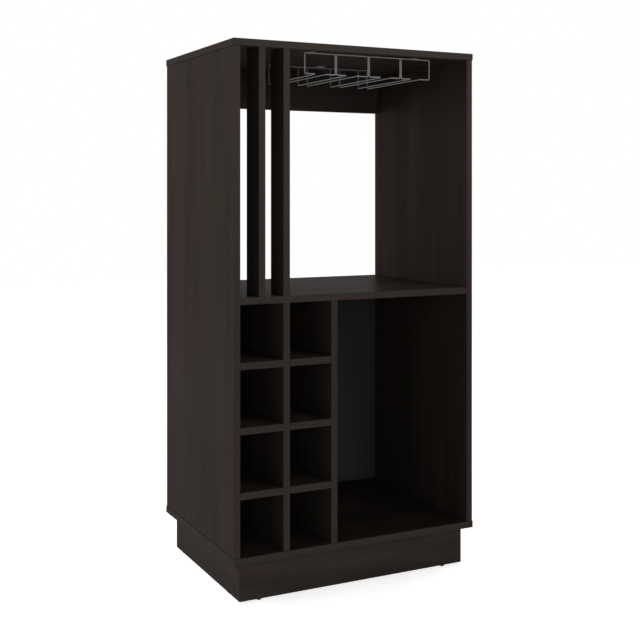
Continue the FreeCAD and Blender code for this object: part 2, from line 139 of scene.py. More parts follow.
class StageSet(bpy.types.PropertyGroup):
    """Floor, lamps and camera"""
    floor_tone: colour("Floor", "Pale floor", (0.70, 0.70, 0.70))
    floor_lift: share("Floor Lift", "White that the floor shows the camera by itself", 0.79)
    shadow_reach: length("Shadow Reach", "Distance at which the floor has faded to white", 1.6)
    sky_level: FloatProperty(name="Sky", description="Even light from all round", default=0.08, min=0.0)
    lamp_level: FloatProperty(name="Lamps", description="Power of all lamps, as a multiple", default=1.0,
                              min=0.0)
    lens: FloatProperty(name="Lens", description="Focal length, in millimetres", default=60.79, min=1.0)
    lens_drop: FloatProperty(name="Lens Drop", description="Level view shifted down, in frame widths",
                             default=0.2002)
    eye: FloatVectorProperty(name="Eye", description="Place of the camera", size=3, unit="LENGTH",
                             default=(-1.1331, -2.2775, 0.8568), subtype="TRANSLATION")
    heading: FloatProperty(name="Heading", description="Turn of the level camera to the right",
                           default=math.radians(26.668), subtype="ANGLE")


# Places read from the frame

def nodes_in_slot(slot):
    """Names of the CAD nodes that the record gives this material slot."""
    return [row["node"] for row in frame["record"]["subparts"] if row["material_slot"] == slot]


def slot_of(node):
    """The material slot that the record gives a CAD node."""
    return next(row["material_slot"] for row in frame["record"]["subparts"] if row["node"] == node)


def merged_shape(node):
    """A copy of a CAD node's mesh with its loose triangles joined."""
    shape = bmesh.new()
    shape.from_mesh(frame["nodes"][node].data)
    bmesh.ops.remove_doubles(shape, verts=shape.verts, dist=MERGE_DISTANCE)
    return shape


def solid_corners(node):
    """The corner points of each separate solid in a CAD node, from the lowest place on."""
    shape = merged_shape(node)
    waiting = set(shape.verts)
    solids = []
    while waiting:
        island = [waiting.pop()]
        for corner in island:
            near = {edge.other_vert(corner) for edge in corner.link_edges} & waiting
            waiting -= near
            island.extend(near)
        solids.append([corner.co.copy() for corner in island])
    shape.free()
    return sorted(solids, key=lambda solid: tuple(round(part, 5) for part in box_of(solid)[0]))


def box_of(points):
    """Lowest and highest corner of some points."""
    columns = list(zip(*points))
    return Vector(map(min, columns)), Vector(map(max, columns))


def longest_axis(size):
    """Number of the axis along which a size is greatest."""
    return max(range(3), key=lambda axis: size[axis])


def shortest_axis(size):
    """Number of the axis along which a size is least."""
    return min(range(3), key=lambda axis: size[axis])


def unit_axis(axis, sign=1):
    """A unit vector along an axis."""
    return Vector([sign if number == axis else 0 for number in range(3)])


def head_side(solid):
    """Which way a fixing's head faces: along its longest axis, from the slimmer end to the wider."""
    low, high = box_of(solid)
    axis = longest_axis(high - low)
    middle = (low + high) / 2
    widths = []
    for end in (low, high):
        rim = [corner for corner in solid if abs(corner[axis] - end[axis]) < MERGE_DISTANCE * 10]
        widths.append(max((corner - middle).length for corner in rim))
    return unit_axis(axis, 1 if widths[1] >= widths[0] else -1)


def head_places(node, outward=None):
    """The middle of each fixing's head and the way that it faces."""
    places = []
    for solid in solid_corners(node):
        low, high = box_of(solid)
        facing = outward or head_side(solid)
        reach = (high - low) / 2
        depth = sum(abs(facing[axis]) * reach[axis] for axis in range(3))
        places.append(((low + high) / 2 + facing * depth, facing))
    return places


def rear_span(node, depth):
    """Least and greatest X of a node within a depth of its rear."""
    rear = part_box(node)[1].y - depth
    across = [corner.co.x for corner in frame["nodes"][node].data.vertices if corner.co.y > rear]
    return min(across), max(across)


def frame_path(node, radius):
    """Corners of the closed frame wire: front hangers, outer stems, rear hangers and both bars."""
    low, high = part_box(node)
    left, right = rear_span(node, radius)
    front, back, level, bar = low.y + radius, high.y - radius, low.z + radius, high.z - radius
    halves = []
    for hanger, stem in ((high.x - radius, right - radius), (low.x + radius, left + radius)):
        halves.append([(hanger, front, bar), (hanger, front, level), (stem, front, level),
                       (stem, back, level), (stem, back, bar)])
    return halves[0] + halves[1][::-1]


def stem_path(node, radius):
    """Corners of one stem wire, from the rear bar down, forward, across and up to the front bar."""
    low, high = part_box(node)
    stem = sum(rear_span(node, radius)) / 2
    hanger = max(low.x + radius, high.x - radius, key=lambda place: abs(place - stem))
    front, back, level = low.y + radius, high.y - radius, low.z + radius
    return [(stem, back, high.z), (stem, back, level), (stem, front, level),
            (hanger, front, level), (hanger, front, high.z)]


# Node building

def add(tree, kind, inputs=None, **settings):
    """Adds a node, applies its settings and fills or links its inputs."""
    node = tree.nodes.new(kind)
    for name, value in settings.items():
        setattr(node, name, value)
    for key, value in (inputs or {}).items():
        if isinstance(value, bpy.types.NodeSocket):
            tree.links.new(value, node.inputs[key])
        else:
            node.inputs[key].default_value = value
    return node


def put(tree, kind, inputs=None, **settings):
    """Adds a node and gives its first output."""
    return add(tree, kind, inputs, **settings).outputs[0]


def calculate(tree, operation, *values):
    """A math node's result."""
    return put(tree, "ShaderNodeMath", dict(enumerate(values)), operation=operation)


def combine(tree, operation, *values):
    """A vector math node's vector."""
    return put(tree, "ShaderNodeVectorMath", dict(enumerate(values)), operation=operation)


def scaled(tree, vector, factor):
    """A vector or colour times a factor."""
    return put(tree, "ShaderNodeVectorMath", {0: vector, "Scale": factor}, operation="SCALE")


def remap(tree, value, low, high, to_low=0.0, to_high=1.0):
    """A value carried from one range to another, and held within it."""
    inputs = {"Value": value, "From Min": low, "From Max": high, "To Min": to_low, "To Max": to_high}
    return put(tree, "ShaderNodeMapRange", inputs)


def ranged(tree, value, low, high):
    """A value from none to full, carried to a range."""
    return remap(tree, value, 0.0, 1.0, low, high)


def blend_colours(tree, factor, first, second):
    """Two colours mixed by a factor."""
    return add(tree, "ShaderNodeMix", {0: factor, 6: first, 7: second}, data_type="RGBA").outputs[2]


def noise(tree, vector, detail=2.0, roughness=0.5):
    """Soft noise of about one lump for each unit of the vector."""
    inputs = {"Vector": vector, "Scale": 1.0, "Detail": detail, "Roughness": roughness}
    return put(tree, "ShaderNodeTexNoise", inputs)


def new_group(name, kind, inputs, outputs):
    """A node group with named sockets, and its two end nodes."""
    group = bpy.data.node_groups.new(name, kind)
    for in_out, sockets in (("INPUT", inputs), ("OUTPUT", outputs)):
        for label, socket in sockets:
            group.interface.new_socket(label, in_out=in_out, socket_type="NodeSocket" + socket)
    return group, group.nodes.new("NodeGroupInput"), group.nodes.new("NodeGroupOutput")


def shared_group(name, build):
    """A node group by name, built the first time that it is asked for."""
    return bpy.data.node_groups.get(name) or build(name)


def rgba(tone):
    """A colour property with full alpha."""
    return (*tone, 1.0)


def bare_tree(item):
    """The emptied node tree of a material or of the world."""
    item.use_nodes = True
    item.node_tree.nodes.clear()
    return item.node_tree


def seen_as_white(tree):
    """Full for what the camera sees, directly, in reflections or through glass."""
    rays = add(tree, "ShaderNodeLightPath").outputs
    indirect = calculate(tree, "MAXIMUM", rays["Is Glossy Ray"], rays["Is Transmission Ray"])
    return calculate(tree, "MAXIMUM", rays["Is Camera Ray"], indirect)


# Shader groups

SWAY_RATE = (4.0, 4.0, 1.6)       # how often the grain wanders, for each metre
SWAY_REACH = (0.04, 0.04, 0.0)    # how far it wanders, in metres


def build_wood_grain(name):
    """Printed wood grain that runs along Z: broad bands, streaks, thin lines, fibres and short pores."""
    group, start, end = new_group(
        name, "ShaderNodeTree",
        [("Vector", "Vector"), ("Band Width", "Float"), ("Streak Width", "Float"),
         ("Fibre Width", "Float")],
        [("Warmth", "Float"), ("Duskiness", "Float"), ("Shade", "Float"), ("Pores", "Float"),
         ("Height", "Float")])
    position = start.outputs["Vector"]
    band, streak, fibre = (start.outputs[label] for label in ("Band Width", "Streak Width", "Fibre Width"))
    slowed = combine(group, "MULTIPLY", position, SWAY_RATE)
    wander = add(group, "ShaderNodeTexNoise", {"Vector": slowed, "Scale": 1.0, "Detail": 1.0}).outputs[1]
    centred = combine(group, "SUBTRACT", wander, (0.5, 0.5, 0.5))
    swayed = combine(group, "ADD", position, combine(group, "MULTIPLY", centred, SWAY_REACH))

    def along_grain(width, stretch, shift=None):
        """Coordinates that give lumps as wide as a width and so many times longer."""
        enlarged = scaled(group, swayed, calculate(group, "DIVIDE", 1.0, width))
        drawn_out = combine(group, "MULTIPLY", enlarged, (1.0, 1.0, 1.0 / stretch))
        return combine(group, "ADD", drawn_out, shift) if shift else drawn_out

    warm = noise(group, along_grain(band, 9.0), 1.0)
    dusk = noise(group, along_grain(band, 7.0, (5.3, 9.1, 2.7)), 1.0)
    streaks = noise(group, along_grain(streak, 19.0))
    line_width = calculate(group, "MULTIPLY", streak, 0.35)
    lines = noise(group, along_grain(line_width, 24.0, (8.9, 3.7, 1.3)), 1.0)
    fibres = noise(group, along_grain(fibre, 45.0), 2.0, 0.6)
    dashes = noise(group, along_grain(calculate(group, "MULTIPLY", fibre, 0.6), 16.0), 1.0)
    clusters = noise(group, along_grain(band, 5.0), 1.0)
    pores = calculate(group, "MULTIPLY", remap(group, dashes, 0.60, 0.70),
                      remap(group, clusters, 0.40, 0.62))
    broad = calculate(group, "ADD", remap(group, streaks, 0.30, 0.70, 0.0, 0.60),
                      remap(group, fibres, 0.30, 0.70, 0.0, 0.12))
    thin = calculate(group, "ADD", remap(group, lines, 0.62, 0.72, 0.14, 0.28),
                     remap(group, lines, 0.28, 0.38, -0.14, 0.0))
    results = {"Warmth": remap(group, warm, 0.36, 0.64), "Duskiness": remap(group, dusk, 0.36, 0.64),
               "Shade": calculate(group, "ADD", broad, thin), "Pores": pores,
               "Height": calculate(group, "SUBTRACT", calculate(group, "MULTIPLY", fibres, 0.5), pores)}
    for label, value in results.items():
        group.links.new(value, end.inputs[label])
    return group


def build_mottle(name):
    """Uneven surface of a coat or moulding: soft clouds and fine specks."""
    group, start, end = new_group(
        name, "ShaderNodeTree",
        [("Vector", "Vector"), ("Cloud Size", "Float"), ("Speck Size", "Float")],
        [("Clouds", "Float"), ("Specks", "Float")])
    for size, detail, result in (("Cloud Size", 3.0, "Clouds"), ("Speck Size", 2.0, "Specks")):
        scale = calculate(group, "DIVIDE", 1.0, start.outputs[size])
        lumps = noise(group, scaled(group, start.outputs["Vector"], scale), detail, 0.6)
        group.links.new(remap(group, lumps, 0.3, 0.7), end.inputs[result])
    return group


# Materials

def new_surface(name, values):
    """A material with one Principled shader, whose steady values sit on its own sockets."""
    material = bpy.data.materials.new(name)
    tree = bare_tree(material)
    shader = add(tree, "ShaderNodeBsdfPrincipled", values)
    add(tree, "ShaderNodeOutputMaterial", {"Surface": shader.outputs[0]})
    return material, tree, shader


def object_vector(tree, shift=(0.0, 0.0, 0.0), turn=(0.0, 0.0, 0.0)):
    """Object coordinates, shifted and turned."""
    place = add(tree, "ShaderNodeTexCoord").outputs["Object"]
    return put(tree, "ShaderNodeMapping", {"Vector": place, "Location": shift, "Rotation": turn})


def link_surface(tree, shader, tone, roughness, height, depth):
    """Links what varies over a surface to its shader: colour, roughness, and bump of a depth."""
    bump = put(tree, "ShaderNodeBump", {"Height": height, "Distance": depth})
    for socket, value in (("Base Color", tone), ("Roughness", roughness), ("Normal", bump)):
        tree.links.new(value, shader.inputs[socket])


def add_grain(tree, vector, band_width, streak_width, fibre_width):
    """The wood-grain group, with its widths."""
    inputs = {"Vector": vector, "Band Width": band_width, "Streak Width": streak_width,
              "Fibre Width": fibre_width}
    group = shared_group("Wood grain", build_wood_grain)
    return add(tree, "ShaderNodeGroup", inputs, node_tree=group).outputs


# Turns that lay X, Y or Z along Z, and the step from one board's place on the printed sheet to the next
GRAIN_TURNS = ((0.0, math.pi / 2, 0.0), (math.pi / 2, 0.0, 0.0), (0.0, 0.0, 0.0))
CUT_STEP = Vector((0.37, 0.61, 1.83))
PAINTED_SHADE_BAND = 0.0024             # painted shade: a dark line where an upright board meets the boards above and below it
PAINTED_SHADE_STRENGTH = 0.9          # how dark the painted shade gets
BOARD_GLOSS = 0.0012      # low, because the white surroundings are reflected at grazing angles
SOFT_GLOSS = 0.05         # gloss of paint and plastic
FIGURE = 0.26             # how far the grain goes above and below its mean tone
PLINTH_FIGURE = 0.40
WARM_SHARE = 0.67         # most that the warm streaks cover
PORE_SHARE = 0.7          # most that the pores darken
PORE_ROUGHNESS = 0.15     # roughness that pores and streaks add
STREAK_ROUGHNESS = 0.06
EDGE_LIGHT = (0.93, 1.07)  # darkest and lightest tone of the edge bands
BOARD_RELIEF = 0.00006    # depth of the grain, in metres


def board_material(node, number, finish):
    """Wood-grain facing cut for one board: grain along its length, plain bands on its narrow edges."""
    low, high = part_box(node)
    grain_axis = longest_axis(high - low)
    face_axis = shortest_axis(high - low)
    values = {"Roughness": finish.board_roughness, "Specular IOR Level": BOARD_GLOSS}
    material, tree, shader = new_surface("espresso_" + node, values)
    vector = object_vector(tree, CUT_STEP * number, GRAIN_TURNS[grain_axis])
    grain = add_grain(tree, vector, finish.band_width, finish.streak_width, finish.fibre_width)
    normal = add(tree, "ShaderNodeNewGeometry").outputs["Normal"]
    facing = add(tree, "ShaderNodeVectorMath", {0: normal, 1: unit_axis(face_axis)},
                 operation="DOT_PRODUCT").outputs[1]
    edge = remap(tree, calculate(tree, "ABSOLUTE", facing), 0.80, 0.60)
    cool = blend_colours(tree, grain["Duskiness"], rgba(finish.olive_tone), rgba(finish.dusky_tone))
    warmth = calculate(tree, "MULTIPLY", grain["Warmth"], WARM_SHARE)
    tone = blend_colours(tree, warmth, cool, rgba(finish.warm_tone))
    figure = PLINTH_FIGURE if node.startswith("plinth") else FIGURE
    shaded = scaled(tree, tone, ranged(tree, grain["Shade"], 1.0 - figure, 1.0 + figure))
    pores = calculate(tree, "MULTIPLY", grain["Pores"], PORE_SHARE)
    face = blend_colours(tree, pores, shaded, rgba(finish.pore_tone))
    # Painted shade: the ends of an upright board are darkened where it meets the boards above and below it
    if grain_axis == 2:
        height = add(tree, "ShaderNodeSeparateXYZ", {"Vector": object_vector(tree)}).outputs["Z"]
        painted_shade = calculate(tree, "MAXIMUM", remap(tree, height, low.z, low.z + PAINTED_SHADE_BAND, PAINTED_SHADE_STRENGTH, 0.0),
                         remap(tree, height, high.z - PAINTED_SHADE_BAND, high.z, 0.0, PAINTED_SHADE_STRENGTH))
        face = blend_colours(tree, painted_shade, face, rgba(finish.pore_tone))
    band = scaled(tree, tuple(finish.edge_tone), ranged(tree, grain["Shade"], *EDGE_LIGHT))
    rough = calculate(tree, "MULTIPLY_ADD", grain["Pores"], PORE_ROUGHNESS, finish.board_roughness)
    rough = calculate(tree, "MULTIPLY_ADD", grain["Shade"], STREAK_ROUGHNESS, rough)
    inside = calculate(tree, "SUBTRACT", 1.0, edge)
    relief = calculate(tree, "MULTIPLY", grain["Height"], inside)
    link_surface(tree, shader, blend_colours(tree, edge, face, band), rough, relief, BOARD_RELIEF)
    return material


def mottled_material(name, tone, values, sizes, clouds, specks, rough_by, rough, relief):
    """A coat or moulding whose tone, roughness and surface are a little uneven."""
    material, tree, shader = new_surface(name, values)
    inputs = {"Vector": object_vector(tree), "Cloud Size": sizes[0], "Speck Size": sizes[1]}
    group = shared_group("Surface mottle", build_mottle)
    mottle = add(tree, "ShaderNodeGroup", inputs, node_tree=group).outputs
    light = ranged(tree, mottle["Clouds"], *clouds)
    if specks:
        light = calculate(tree, "ADD", light, ranged(tree, mottle["Specks"], *specks))
    link_surface(tree, shader, scaled(tree, tuple(tone), light), ranged(tree, mottle[rough_by], *rough),
                 mottle["Specks"], relief)
    return material


def around(roughness):
    """The range of an uneven roughness."""
    return roughness - 0.06, roughness + 0.08


def hardboard_material(finish):
    """Thin painted hardboard with a fine fibre texture."""
    return mottled_material("painted_hardboard", finish.hardboard_tone, {"Specular IOR Level": SOFT_GLOSS},
                            sizes=(0.060, 0.0012), clouds=(0.90, 1.02), specks=(-0.06, 0.08),
                            rough_by="Specks", rough=(0.55, 0.72), relief=0.00008)


def metal_material(name, tone, roughness, metallic, sizes):
    """Coated or plated steel."""
    return mottled_material(name, tone, {"Metallic": metallic}, sizes=sizes, clouds=(0.86, 1.04),
                            specks=(-0.05, 0.05), rough_by="Clouds", rough=around(roughness),
                            relief=0.00002)


def plastic_material(name, tone, roughness):
    """Moulded plastic with a fine grain."""
    return mottled_material(name, tone, {"Specular IOR Level": SOFT_GLOSS}, sizes=(0.010, 0.0006),
                            clouds=(0.88, 1.12), specks=None, rough_by="Specks", rough=around(roughness),
                            relief=0.00004)


def beech_material(name, axis, fixings):
    """Pale beech with its grain along an axis."""
    material, tree, shader = new_surface(name, {"Specular IOR Level": 0.3})
    vector = object_vector(tree, turn=GRAIN_TURNS[axis])
    grain = add_grain(tree, vector, band_width=0.004, streak_width=0.0015, fibre_width=0.0004)
    tone = blend_colours(tree, grain["Warmth"], rgba(fixings.beech_light), rgba(fixings.beech_dark))
    shaded = scaled(tree, tone, ranged(tree, grain["Shade"], 0.85, 1.12))
    link_surface(tree, shader, shaded, ranged(tree, grain["Shade"], 0.55, 0.70), grain["Height"], 0.00005)
    return material


def floor_material(stage):
    """Pale floor that looks white to the camera and in reflections, and keeps the shadow."""
    material = bpy.data.materials.new("pale_floor")
    tree = bare_tree(material)
    place = add(tree, "ShaderNodeTexCoord").outputs["Object"]
    away = add(tree, "ShaderNodeVectorMath", {0: place}, operation="LENGTH").outputs[1]
    white = remap(tree, away, stage.shadow_reach * SHADOW_CORE, stage.shadow_reach, stage.floor_lift, 1.0)
    strength = calculate(tree, "MULTIPLY", seen_as_white(tree), white)
    lift = put(tree, "ShaderNodeEmission", {"Strength": strength})
    matt = put(tree, "ShaderNodeBsdfDiffuse", {"Color": rgba(stage.floor_tone)})
    both = put(tree, "ShaderNodeAddShader", {0: matt, 1: lift})
    add(tree, "ShaderNodeOutputMaterial", {"Surface": both})
    return material


def shared_material(name, build, *values):
    """A material by name, made the first time that it is asked for."""
    return bpy.data.materials.get(name) or build(name, *values)


def wire_material(rack):
    """Silver-grey coated wire."""
    return shared_material("silver_wire", metal_material, rack.wire_tone, rack.wire_roughness, 0.2,
                           (0.02, 0.0008))


def zinc_material(fixings):
    """Zinc plating of the steel fixings."""
    return shared_material("zinc_plate", metal_material, fixings.zinc_tone, 0.38, 1.0, (0.006, 0.0005))


def paint(nodes, material):
    """Gives CAD nodes one material."""
    for node in nodes:
        slots = frame["nodes"][node].data.materials
        slots.clear()
        slots.append(material)


# Geometry trees

def finish_tree(group, end, geometry, finish):
    """Ends a geometry tree in real meshes with their material."""
    real = put(group, "GeometryNodeRealizeInstances", {"Geometry": geometry})
    coated = put(group, "GeometryNodeSetMaterial", {"Geometry": real, "Material": finish})
    group.links.new(coated, end.inputs[0])
    return group


def build_bent_wire(name):
    """Round wire along a path of straight runs, bent at every corner."""
    group, start, end = new_group(
        name, "GeometryNodeTree",
        [("Path", "Geometry"), ("Wire Radius", "Float"), ("Bend Radius", "Float"), ("Bend Steps", "Int"),
         ("Wire Steps", "Int"), ("Finish", "Material")],
        [("Wire", "Geometry")])
    given = start.outputs
    runs = put(group, "GeometryNodeMeshToCurve", {"Mesh": given["Path"]})
    bends = {"Curve": runs, "Count": given["Bend Steps"], "Radius": given["Bend Radius"]}
    bent = put(group, "GeometryNodeFilletCurve", bends, mode="POLY")
    section = put(group, "GeometryNodeCurvePrimitiveCircle",
                  {"Resolution": given["Wire Steps"], 4: given["Wire Radius"]}, mode="RADIUS")
    wire = put(group, "GeometryNodeCurveToMesh", {"Curve": bent, "Profile Curve": section, "Fill Caps": True})
    return finish_tree(group, end, wire, given["Finish"])


BEAD_LEAST = (0.90, 0.90, 0.62)   # a bead's sizes, as multiples of the bead size
BEAD_MOST = (1.15, 1.15, 0.85)
LUMPS = 1.3                       # lumps for each bead size


def build_weld_beads(name):
    """Lumpy beads of weld at some places, each drawn a little differently."""
    group, start, end = new_group(
        name, "GeometryNodeTree",
        [("Places", "Geometry"), ("Bead Size", "Float"), ("Unevenness", "Float"), ("Seed", "Int"),
         ("Finish", "Material")],
        [("Beads", "Geometry")])
    given = start.outputs
    bead = put(group, "GeometryNodeMeshIcoSphere", {"Radius": 1.0, "Subdivisions": 3})
    drawn = put(group, "FunctionNodeRandomValue", {0: BEAD_LEAST, 1: BEAD_MOST, "Seed": given["Seed"]},
                data_type="FLOAT_VECTOR")
    size = scaled(group, drawn, given["Bead Size"])
    beads = put(group, "GeometryNodeInstanceOnPoints",
                {"Points": given["Places"], "Instance": bead, "Scale": size})
    real = put(group, "GeometryNodeRealizeInstances", {"Geometry": beads})
    place = put(group, "GeometryNodeInputPosition")
    finer = scaled(group, place, calculate(group, "DIVIDE", LUMPS, given["Bead Size"]))
    uneven = calculate(group, "SUBTRACT", noise(group, finer), 0.5)
    lift = calculate(group, "MULTIPLY", uneven, given["Unevenness"])
    shift = scaled(group, put(group, "GeometryNodeInputNormal"), lift)
    lumpy = put(group, "GeometryNodeSetPosition", {"Geometry": real, "Offset": shift})
    return finish_tree(group, end, lumpy, given["Finish"])


def build_seated_pieces(name):
    """Copies of a template at some places, each turned to face outwards and by an angle of its own."""
    group, start, end = new_group(
        name, "GeometryNodeTree",
        [("Places", "Geometry"), ("Template", "Object"), ("Random Turn", "Float"), ("Seed", "Int"),
         ("Finish", "Material")],
        [("Pieces", "Geometry")])
    given = start.outputs
    facing = put(group, "GeometryNodeInputNamedAttribute", {"Name": "facing"}, data_type="FLOAT_VECTOR")
    turn = put(group, "GeometryNodeInputNamedAttribute", {"Name": "turn"}, data_type="FLOAT")
    drawn = add(group, "FunctionNodeRandomValue", {2: 0.0, 3: given["Random Turn"], "Seed": given["Seed"]},
                data_type="FLOAT").outputs[1]
    outward = put(group, "FunctionNodeAlignRotationToVector", {"Vector": facing}, axis="Z")
    spin = put(group, "FunctionNodeAxisAngleToRotation",
               {"Axis": (0.0, 0.0, 1.0), "Angle": calculate(group, "ADD", turn, drawn)})
    turned = put(group, "FunctionNodeRotateRotation", {"Rotation": outward, "Rotate By": spin},
                 rotation_space="LOCAL")
    template = add(group, "GeometryNodeObjectInfo", {"Object": given["Template"]},
                   transform_space="ORIGINAL").outputs["Geometry"]
    pieces = put(group, "GeometryNodeInstanceOnPoints",
                 {"Points": given["Places"], "Instance": template, "Rotation": turned})
    return finish_tree(group, end, pieces, given["Finish"])


# Making pieces

def smooth_normals(mesh):
    """Faces turned outwards, and shaded smooth except at sharp edges."""
    shape = bmesh.new()
    shape.from_mesh(mesh)
    bmesh.ops.recalc_face_normals(shape, faces=shape.faces)
    shape.to_mesh(mesh)
    shape.free()
    mesh.shade_smooth()
    mesh.set_sharp_from_angle(angle=SMOOTH_ANGLE)


def new_object(context, name, data):
    """An object in the scene."""
    item = bpy.data.objects.new(name, data)
    context.scene.collection.objects.link(item)
    return item


def plain_mesh(name, points, edges=(), faces=()):
    """A mesh from points, edges and faces."""
    mesh = bpy.data.meshes.new(name)
    mesh.from_pydata(points, edges, faces)
    return mesh


def discard(item):
    """Removes an object and its mesh."""
    mesh = item.data
    bpy.data.objects.remove(item)
    bpy.data.meshes.remove(mesh)


def finished_mesh(context, item):
    """The plain mesh that an object's modifiers make."""
    mesh = bpy.data.meshes.new_from_object(item.evaluated_get(context.evaluated_depsgraph_get()))
    if not mesh.polygons:
        raise RuntimeError("nothing was made for " + item.name)
    smooth_normals(mesh)
    return mesh


def grow(context, name, base, tree, inputs):
    """A piece whose plain mesh a geometry tree makes from a base mesh and some inputs."""
    piece = new_object(context, name, base)
    modifier = piece.modifiers.new(tree.name, "NODES")
    modifier.node_group = tree
    sockets = {item.name: item.identifier for item in tree.interface.items_tree if item.in_out == "INPUT"}
    for label, value in inputs.items():
        modifier[sockets[label]] = value
    mesh = finished_mesh(context, piece)
    piece.modifiers.remove(modifier)
    piece.data = mesh
    mesh.name = name
    bpy.data.meshes.remove(base)
    return piece


def mount(piece, slot, *nodes):
    """Lets a piece ride on the cabinet and hides the CAD nodes that it stands for; the slot is not used."""
    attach(piece, BODY)
    if nodes:
        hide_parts(*nodes)


def path_mesh(name, corners, closed):
    """A chain of edges through some corners."""
    edges = [(number, number + 1) for number in range(len(corners) - 1)]
    if closed:
        edges.append((len(corners) - 1, 0))
    return plain_mesh(name, corners, edges)


def place_mesh(name, places, turns=None):
    """Points with the way that each of them faces and an angle to turn by."""
    mesh = plain_mesh(name, [place for place, facing in places])
    mesh.attributes.new("facing", "FLOAT_VECTOR", "POINT")
    mesh.attributes.new("turn", "FLOAT", "POINT")
    for number, (place, facing) in enumerate(places):
        mesh.attributes["facing"].data[number].vector = facing
        mesh.attributes["turn"].data[number].value = turns[number] if turns else 0.0
    return mesh


def seat(context, name, node, places, template, finish, random_turn=0.0, seed=0, turns=None):
    """Copies of a template mesh at some places, which stand for a CAD node."""
    model = new_object(context, name + "_template", template)
    tree = shared_group("Seated pieces", build_seated_pieces)
    inputs = {"Template": model, "Random Turn": random_turn, "Seed": seed, "Finish": finish}
    piece = grow(context, name, place_mesh(name, places, turns), tree, inputs)
    discard(model)
    mount(piece, slot_of(node), node)
    return piece


# Templates: local Z points out of the head, whose outer face is at the origin; sizes in millimetres

def as_mesh(shape, name):
    """A plain mesh from a shape in millimetres, which is used up."""
    bmesh.ops.scale(shape, vec=(MM, MM, MM), verts=shape.verts)
    mesh = bpy.data.meshes.new(name)
    shape.to_mesh(mesh)
    shape.free()
    smooth_normals(mesh)
    return mesh


def prism(outline, levels):
    """A closed shape through copies of an outline, each at a height and a scale."""
    shape = bmesh.new()
    rings = []
    for height, scale in levels:
        rings.append([shape.verts.new((x * scale, y * scale, height)) for x, y in outline])
    for lower, upper in zip(rings, rings[1:]):
        for index in range(len(outline)):
            shape.faces.new((lower[index - 1], lower[index], upper[index], upper[index - 1]))
    shape.faces.new(rings[0])
    shape.faces.new(rings[-1])
    return shape


def lathe(profile, steps=TURN_STEPS, ripple=None, ring=False):
    """A turned shape through radii and heights; a ripple changes the radius by height and angle."""
    shape = bmesh.new()
    rows = []
    for radius, height in profile:
        if radius == 0:
            rows.append([shape.verts.new((0.0, 0.0, height))] * steps)
            continue
        row = []
        for step in range(steps):
            angle = math.tau * step / steps
            reach = radius + (ripple(height, angle) if ripple else 0.0)
            row.append(shape.verts.new((reach * math.cos(angle), reach * math.sin(angle), height)))
        rows.append(row)
    following = rows[1:] + rows[:1] if ring else rows[1:]
    for upper, lower in zip(rows, following):
        for step in range(steps):
            corners = (upper[step - 1], lower[step - 1], lower[step], upper[step])
            shape.faces.new(list(dict.fromkeys(corners)))
    return shape


def carved(context, name, shape, cutters):
    """A template mesh with some shapes cut out of it."""
    block = new_object(context, name, as_mesh(shape, name))
    tools = [new_object(context, "cutter", as_mesh(cutter, "cutter")) for cutter in cutters]
    for tool in tools:
        cut = block.modifiers.new("cut", "BOOLEAN")
        cut.operation = "DIFFERENCE"
        cut.solver = "EXACT"
        cut.object = tool
    mesh = finished_mesh(context, block)
    for item in (block, *tools):
        discard(item)
    return mesh


def circle(radius, steps, centre=(0.0, 0.0), first=0.0, turn=math.tau):
    """Points on a circle or an arc."""
    count = steps if turn == math.tau else steps - 1
    return [(centre[0] + radius * math.cos(first + turn * step / count),
             centre[1] + radius * math.sin(first + turn * step / count)) for step in range(steps)]


def cross_cutter(reach, half_width, depth):
    """A tapered cross, for a driver."""
    a, b = reach, half_width
    outline = [(b, a), (-b, a), (-b, b), (-a, b), (-a, -b), (-b, -b),
               (-b, -a), (b, -a), (b, -b), (a, -b), (a, b), (b, b)]
    return prism(outline, [(1.0, 1.2), (-depth, 0.6)])


def threaded(start, finish, radius, pitch):
    """Rows of a profile along a thread."""
    count = int((start - finish) / pitch * ROWS_PER_TURN)
    return [(radius, start + (finish - start) * row / count) for row in range(count + 1)]


def thread_ripple(start, finish, pitch, depth):
    """A thread whose crest keeps the full radius and that fades out at both ends."""
    def ripple(height, angle):
        """Change of radius at a height and an angle."""
        fade = max(0.0, min(1.0, (start - height) / pitch, (height - finish) / pitch))
        wave = abs((height / pitch + angle / math.tau) % 1.0 * 2.0 - 1.0)
        return -depth * fade * wave
    return ripple


def flute_ripple(count, depth):
    """Flutes along a dowel."""
    def ripple(height, angle):
        """Change of radius at an angle."""
        return -depth * (0.5 - 0.5 * math.cos(count * angle))
    return ripple


def carcass_screw(context, fixings):
    """Countersunk screw with a hexagon socket, a plain neck and a coarse thread."""
    pitch, depth = fixings.thread_pitch / MM * COARSE, fixings.thread_depth / MM
    start, finish = -15.0, -47.0
    profile = [(0, 0), (4.7, 0), (5.0, -0.3), (3.5, -2.5), (3.5, -14.3)]
    profile += threaded(start, finish, 2.5, pitch) + [(2.1, -49.0), (1.2, -50.0), (0, -50.0)]
    shape = lathe(profile, 24, thread_ripple(start, finish, pitch, depth))
    socket = prism(circle(2.3, 6), [(-3.2, 1.0), (0.5, 1.0)])
    return carved(context, "carcass_screw", shape, [socket])


def pan_screw(context, fixings):
    """Small screw with a domed head, a cross recess and a thread to its point."""
    pitch, depth = fixings.thread_pitch / MM, fixings.thread_depth / MM
    start, finish = -3.5, -13.0
    profile = [(0, 0), (1.6, -0.08), (2.7, -0.45), (3.3, -1.0), (3.5, -1.6), (3.5, -2.0),
               (PAN_SHANK_RADIUS, -2.0)]
    profile += threaded(start, finish, PAN_SHANK_RADIUS, pitch) + [(0.9, -14.2), (0, -15.0)]
    shape = lathe(profile, 24, thread_ripple(start, finish, pitch, depth))
    return carved(context, "pan_screw", shape, [cross_cutter(1.9, 0.42, 1.3)])


